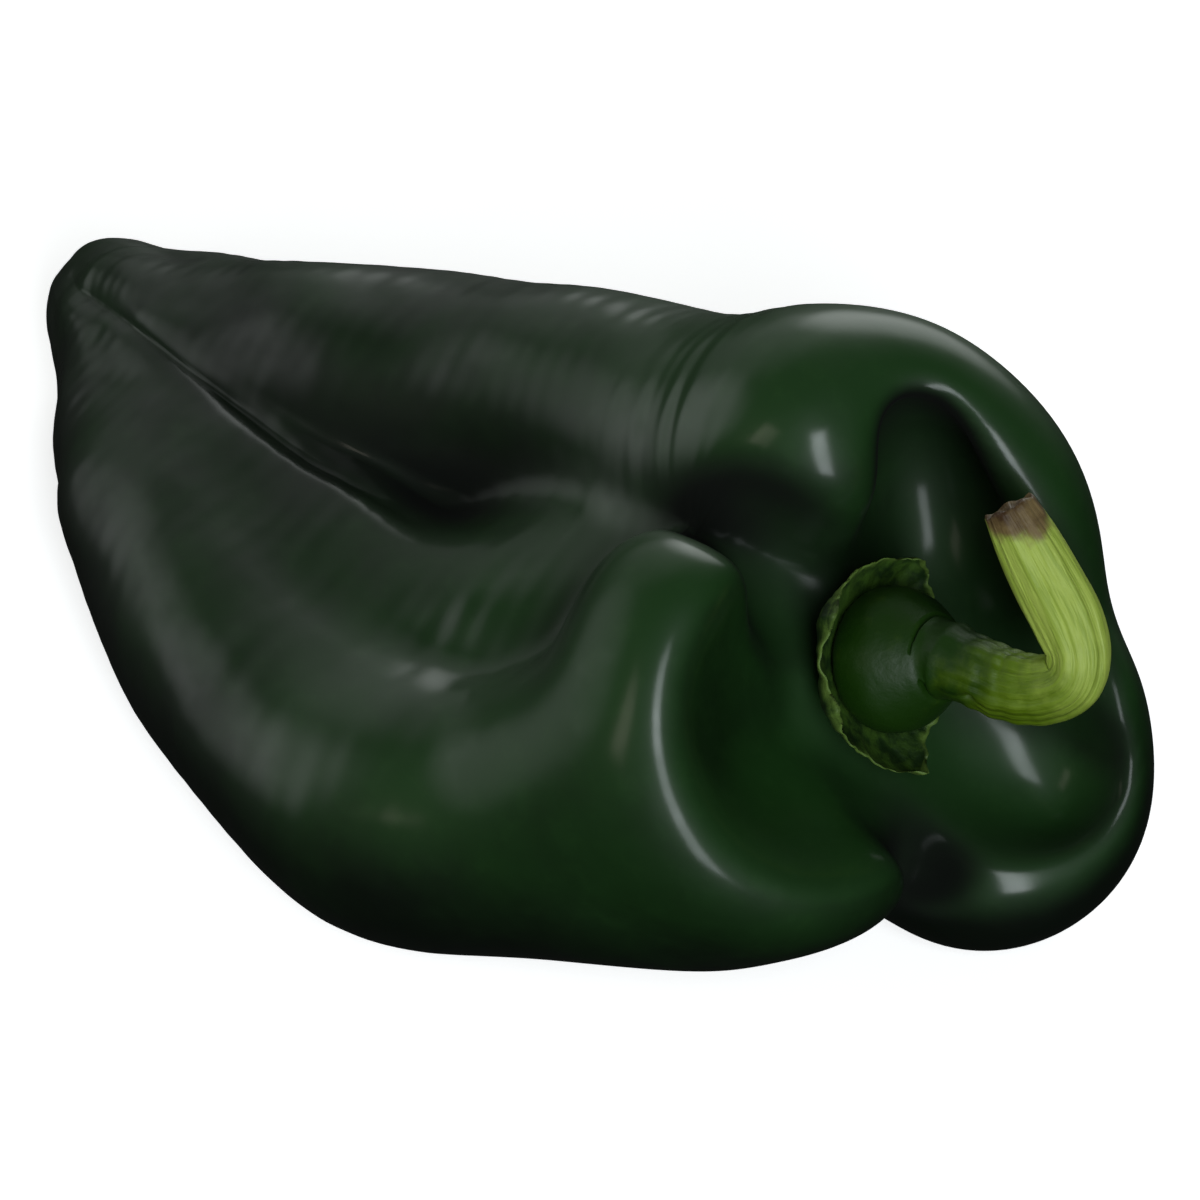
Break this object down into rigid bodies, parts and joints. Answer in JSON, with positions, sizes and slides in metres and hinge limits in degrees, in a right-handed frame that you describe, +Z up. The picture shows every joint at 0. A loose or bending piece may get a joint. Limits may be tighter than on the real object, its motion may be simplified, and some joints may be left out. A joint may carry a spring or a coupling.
{
  "type": "poblano pepper",
  "caption": "Dark green poblano pepper lying on its side: a tapering, deeply folded pod with broad shoulders round a sunken stem end, a papery calyx and a stem bent back on itself.",
  "frame": {"origin": "centre of the bounding box's footprint, on the surface the pepper lies on", "axes": "+X from the tip to the stem end, the longest way; +Y away from the near side; +Z up"},
  "size_m": [0.1326, 0.074, 0.053],
  "materials": {
    "pod_skin": "waxy gloss",
    "calyx_green": "dull",
    "stem_green": "dull"
  },
  "bodies": {
    "root": {"pod": "pod_skin", "calyx": "calyx_green", "stem": "stem_green"}
  },
  "joints": []
}
